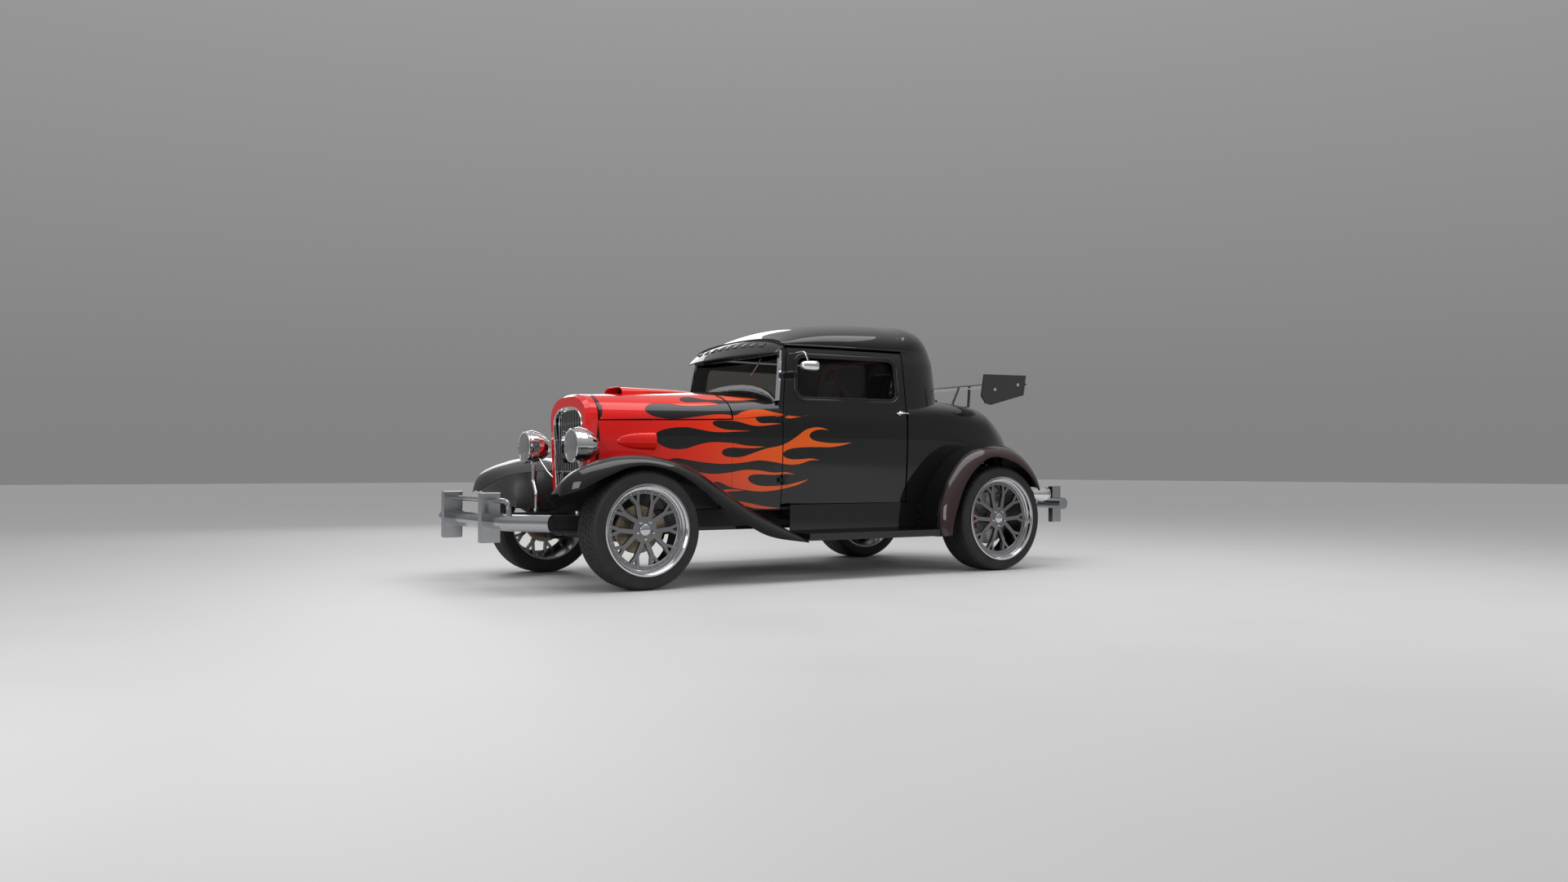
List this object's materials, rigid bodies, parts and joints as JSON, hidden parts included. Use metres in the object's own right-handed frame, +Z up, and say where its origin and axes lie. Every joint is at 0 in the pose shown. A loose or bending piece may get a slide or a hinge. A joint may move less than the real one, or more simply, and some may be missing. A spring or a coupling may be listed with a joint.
{
  "type": "hot rod coupe",
  "caption": "Full-fendered two-seat hot rod coupe that rolls and steers on its wheels, with hinged doors, hood and trunk lid carrying a wing.",
  "frame": {"origin": "middle of the car's length and width, on the ground under the tyres", "axes": "+X forward along the car's length, +Y to its left, +Z up"},
  "size_m": [4.52, 1.864, 1.7192],
  "materials": {
    "chassis_black": "satin",
    "engine_iron": "rough",
    "flame_red": "gloss",
    "chrome": "polished",
    "body_black": "gloss",
    "window_glass": "gloss",
    "seat_leather": "satin",
    "interior_black": "matte",
    "cage_red": "satin",
    "carbon_black": "gloss",
    "wheel_metal": "satin",
    "tyre_rubber": "matte"
  },
  "bodies": {
    "chassis": {"frame_rails": "chassis_black", "engine_block": "engine_iron", "floor_pan": "chassis_black", "front_axle": "chassis_black", "rear_axle": "chassis_black", "grille_shell": "flame_red", "grille_bars": "chrome", "hood_sides": "flame_red", "cowl": "body_black", "roof_shell": "body_black", "rear_body": "body_black", "windshield_frame": "chrome", "cabin_glass": "window_glass", "sun_visor": "body_black", "front_fender_left": "body_black", "front_fender_right": "body_black", "rear_fender_left": "body_black", "rear_fender_right": "body_black", "running_boards": "chassis_black", "headlights": "chrome", "front_bumper": "chrome", "rear_bumper": "chrome", "tail_lamps": "chrome", "seat_left": "seat_leather", "seat_right": "seat_leather", "dashboard": "interior_black", "roll_cage": "cage_red"},
    "door_left": {"door_left": "body_black", "door_glass_left": "window_glass"},
    "door_right": {"door_right": "body_black", "door_glass_right": "window_glass"},
    "trunk_lid": {"trunk_lid": "body_black", "rear_wing": "carbon_black"},
    "hood": {"hood_top": "flame_red"},
    "knuckle_left": {"knuckle_left": "chassis_black"},
    "knuckle_right": {"knuckle_right": "chassis_black"},
    "steering_wheel": {"steering_wheel": "interior_black"},
    "wheel_front_left": {"rim_front_left": "wheel_metal", "tyre_front_left": "tyre_rubber"},
    "wheel_front_right": {"rim_front_right": "wheel_metal", "tyre_front_right": "tyre_rubber"},
    "wheel_rear_left": {"rim_rear_left": "wheel_metal", "tyre_rear_left": "tyre_rubber"},
    "wheel_rear_right": {"rim_rear_right": "wheel_metal", "tyre_rear_right": "tyre_rubber"}
  },
  "joints": [
    {"name": "door_left_hinge", "type": "hinge", "parent": "chassis", "child": "door_left", "pos_m": [0.38, 0.642, 0.8], "axis": [0, 0, -1], "range_deg": [0, 68]},
    {"name": "door_right_hinge", "type": "hinge", "parent": "chassis", "child": "door_right", "pos_m": [0.38, -0.642, 0.8], "axis": [0, 0, 1], "range_deg": [0, 68]},
    {"name": "trunk_hinge", "type": "hinge", "parent": "chassis", "child": "trunk_lid", "pos_m": [-1.182, 0, 1.20422], "axis": [0, 1, 0], "range_deg": [0, 55]},
    {"name": "hood_hinge", "type": "hinge", "parent": "chassis", "child": "hood", "pos_m": [0.552, 0, 1.17221], "axis": [0, -1, 0], "range_deg": [0, 50]},
    {"name": "steer_left", "type": "hinge", "parent": "chassis", "child": "knuckle_left", "pos_m": [1.446, 0.611, 0.287], "axis": [0, 0, 1], "range_deg": [-30, 30]},
    {"name": "steer_right", "type": "hinge", "parent": "chassis", "child": "knuckle_right", "pos_m": [1.446, -0.611, 0.287], "axis": [0, 0, 1], "range_deg": [-30, 30]},
    {"name": "steering_wheel_turn", "type": "hinge", "parent": "chassis", "child": "steering_wheel", "pos_m": [0.188, 0.3, 0.995], "axis": [-0.8944, 0, 0.4472], "range_deg": [-450, 450]},
    {"name": "roll_front_left", "type": "hinge", "parent": "knuckle_left", "child": "wheel_front_left", "pos_m": [1.446, 0.741, 0.347], "axis": [0, 1, 0], "continuous": true},
    {"name": "roll_front_right", "type": "hinge", "parent": "knuckle_right", "child": "wheel_front_right", "pos_m": [1.446, -0.741, 0.347], "axis": [0, 1, 0], "continuous": true},
    {"name": "roll_rear_left", "type": "hinge", "parent": "chassis", "child": "wheel_rear_left", "pos_m": [-1.246, 0.774, 0.3595], "axis": [0, 1, 0], "continuous": true},
    {"name": "roll_rear_right", "type": "hinge", "parent": "chassis", "child": "wheel_rear_right", "pos_m": [-1.246, -0.774, 0.3595], "axis": [0, 1, 0], "continuous": true}
  ],
  "couplings": [
    {"joint": "steer_right", "follows": "steer_left", "ratio": 1},
    {"joint": "steering_wheel_turn", "follows": "steer_left", "ratio": 15}
  ]
}
